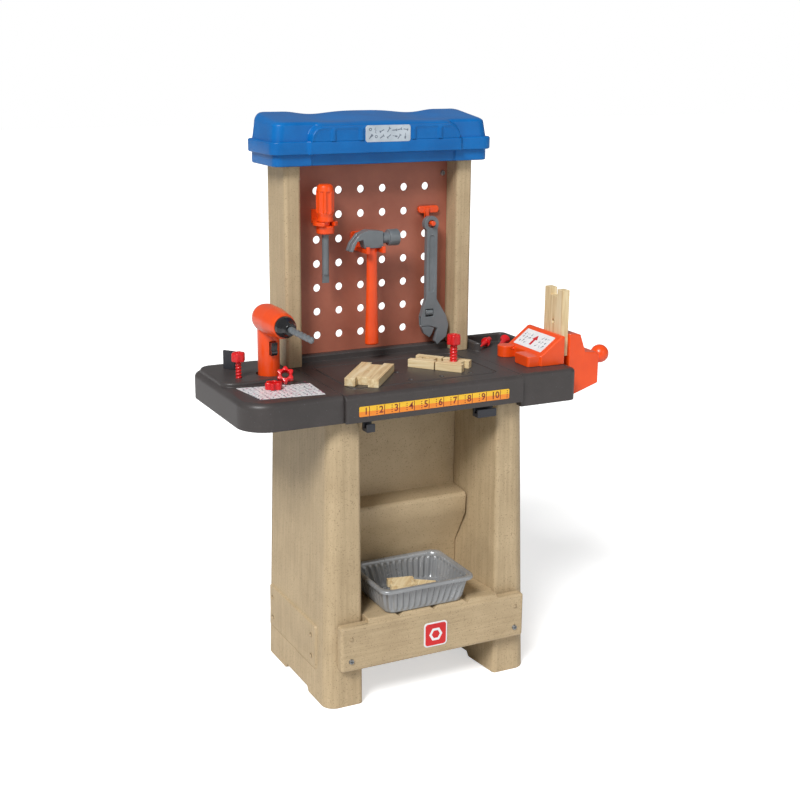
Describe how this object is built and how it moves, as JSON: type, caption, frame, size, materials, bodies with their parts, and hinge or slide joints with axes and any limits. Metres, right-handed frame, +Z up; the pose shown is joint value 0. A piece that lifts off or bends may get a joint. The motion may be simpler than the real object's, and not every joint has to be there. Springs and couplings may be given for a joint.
{
  "type": "toy workbench",
  "caption": "Toddler's play workbench: open tan cabinet, dark counter with side wings, peg board and arched roof, vise, drill, hand tools, wood pieces, bolts and a storage tray.",
  "frame": {"origin": "centre of the bounding box's footprint, on the floor", "axes": "+Z up, the child stands on the -Y side and faces +Y, +X is the child's right (the vise side)"},
  "size_m": [0.68, 0.319, 0.918],
  "materials": {
    "tan_plastic": "satin, blow-moulded, with a fine darker speckle and moulded plank grain",
    "counter_plastic": "satin dark grey with a faint stone speckle",
    "roof_plastic": "smooth semi-gloss",
    "board_plastic": "matt brown sheet",
    "orange_plastic": "moulded, semi-gloss",
    "grey_plastic": "moulded, metal-grey satin",
    "black_plastic": "moulded, semi-gloss",
    "red_plastic": "moulded, semi-gloss",
    "tray_plastic": "thin, silver grey, slightly translucent",
    "wood": "pale softwood, sanded, unvarnished",
    "steel": "zinc plated",
    "label_print": "printed vinyl label"
  },
  "bodies": {
    "bench": {"left_side_panel": "tan_plastic", "right_side_panel": "tan_plastic", "back_panel": "tan_plastic", "shelf_and_rail": "tan_plastic", "rail_screws": "steel", "front_badge": "label_print", "centre_counter": "counter_plastic", "ruler_strip": "label_print", "left_apron_hook": "counter_plastic", "right_apron_hook": "counter_plastic", "left_wing": "counter_plastic", "wing_label": "label_print", "right_wing": "counter_plastic", "dock_tab": "counter_plastic", "left_post": "tan_plastic", "right_post": "tan_plastic", "post_screws": "steel", "peg_board": "board_plastic", "board_screws": "steel", "roof_canopy": "roof_plastic", "roof_plate": "label_print", "screwdriver_fork": "orange_plastic", "hammer_hook": "orange_plastic", "wrench_hook": "orange_plastic", "vise_base": "orange_plastic", "vise_label": "label_print"},
    "vise_jaw": {"vise_jaw": "orange_plastic"},
    "vise_knob": {"vise_knob": "orange_plastic"},
    "vise_board": {"vise_board": "wood"},
    "drill": {"drill_left_shell": "orange_plastic", "drill_right_shell": "orange_plastic", "trigger_spring": "steel"},
    "drill_trigger": {"drill_trigger": "black_plastic"},
    "drill_chuck": {"drill_chuck": "black_plastic", "drill_bit": "grey_plastic"},
    "screwdriver": {"screwdriver_handle": "orange_plastic", "screwdriver_ferrule": "orange_plastic", "screwdriver_blade": "grey_plastic"},
    "hammer": {"hammer_handle": "orange_plastic", "hammer_head": "grey_plastic"},
    "wrench": {"wrench_body": "grey_plastic", "wrench_pin": "steel"},
    "wrench_jaw": {"wrench_jaw": "grey_plastic"},
    "wrench_knurl": {"wrench_knurl": "grey_plastic"},
    "tray": {"storage_tray": "tray_plastic", "tray_blocks": "wood"},
    "flat_board": {"flat_board": "wood"},
    "short_board_front": {"short_board_front": "wood"},
    "short_board_back": {"short_board_back": "wood"},
    "board_bolt": {"board_bolt": "red_plastic"},
    "dock_bolt": {"dock_bolt": "red_plastic"},
    "loose_nut_flat": {"loose_nut_flat": "red_plastic"},
    "loose_nut_leaning": {"loose_nut_leaning": "red_plastic"},
    "toy_nail": {"toy_nail": "red_plastic"},
    "toy_screw": {"toy_screw": "red_plastic"}
  },
  "joints": [
    {"name": "vise_jaw_slide", "type": "slide", "parent": "bench", "child": "vise_jaw", "axis": [1, 0, 0], "range_m": [0, 0.03]},
    {"name": "vise_knob_turn", "type": "hinge", "parent": "vise_jaw", "child": "vise_knob", "pos_m": [0.3245, -0.0605, 0.5165], "axis": [1, 0, 0], "range_deg": [0, 1080.5]},
    {"name": "vise_board_lift", "type": "slide", "parent": "bench", "child": "vise_board", "axis": [0, 0, 1], "range_m": [0, 0.1]},
    {"name": "drill_lift", "type": "slide", "parent": "bench", "child": "drill", "axis": [0, 0, 1], "range_m": [0, 0.06]},
    {"name": "trigger_pull", "type": "slide", "parent": "drill", "child": "drill_trigger", "axis": [0, 1, 0], "range_m": [0, 0.004], "stiffness_N_per_m": 200, "springref_m": -0.0015, "deforming": ["trigger_spring"]},
    {"name": "chuck_spin", "type": "hinge", "parent": "drill", "child": "drill_chuck", "pos_m": [-0.245, -0.0485, 0.61], "axis": [0, 1, 0], "continuous": true},
    {"name": "screwdriver_pull", "type": "slide", "parent": "bench", "child": "screwdriver", "axis": [0, -1, 0], "range_m": [0, 0.05]},
    {"name": "hammer_lift", "type": "slide", "parent": "bench", "child": "hammer", "axis": [0, 0, 1], "range_m": [0, 0.05]},
    {"name": "wrench_pull", "type": "slide", "parent": "bench", "child": "wrench", "axis": [0, -1, 0], "range_m": [0, 0.04]},
    {"name": "wrench_jaw_slide", "type": "slide", "parent": "wrench", "child": "wrench_jaw", "axis": [-1, 0, 0], "range_m": [0, 0.008]},
    {"name": "wrench_knurl_turn", "type": "hinge", "parent": "wrench", "child": "wrench_knurl", "pos_m": [0.06675, 0.0775, 0.584], "axis": [1, 0, 0], "range_deg": [0, 720.5]},
    {"name": "tray_pull", "type": "slide", "parent": "bench", "child": "tray", "axis": [0, -1, 0], "range_m": [0, 0.12]},
    {"name": "flat_board_lift", "type": "slide", "parent": "bench", "child": "flat_board", "axis": [0, 0, 1], "range_m": [0, 0.05]},
    {"name": "short_board_front_lift", "type": "slide", "parent": "bench", "child": "short_board_front", "axis": [0, 0, 1], "range_m": [0, 0.05]},
    {"name": "board_bolt_lift", "type": "slide", "parent": "short_board_front", "child": "board_bolt", "axis": [0, 0, 1], "range_m": [0, 0.05]},
    {"name": "short_board_back_lift", "type": "slide", "parent": "bench", "child": "short_board_back", "axis": [0, 0, 1], "range_m": [0, 0.05]},
    {"name": "dock_bolt_lift", "type": "slide", "parent": "bench", "child": "dock_bolt", "axis": [0, 0, 1], "range_m": [0, 0.05]},
    {"name": "loose_nut_flat_lift", "type": "slide", "parent": "bench", "child": "loose_nut_flat", "axis": [0, 0, 1], "range_m": [0, 0.05]},
    {"name": "loose_nut_leaning_lift", "type": "slide", "parent": "bench", "child": "loose_nut_leaning", "axis": [0, 0, 1], "range_m": [0, 0.04]},
    {"name": "toy_nail_lift", "type": "slide", "parent": "bench", "child": "toy_nail", "axis": [0, 0, 1], "range_m": [0, 0.05]},
    {"name": "toy_screw_lift", "type": "slide", "parent": "bench", "child": "toy_screw", "axis": [0, 0, 1], "range_m": [0, 0.05]}
  ],
  "couplings": [
    {"joint": "vise_knob_turn", "follows": "vise_jaw_slide", "rad_per_m": 628.32},
    {"joint": "wrench_knurl_turn", "follows": "wrench_jaw_slide", "rad_per_m": 1570.8}
  ]
}
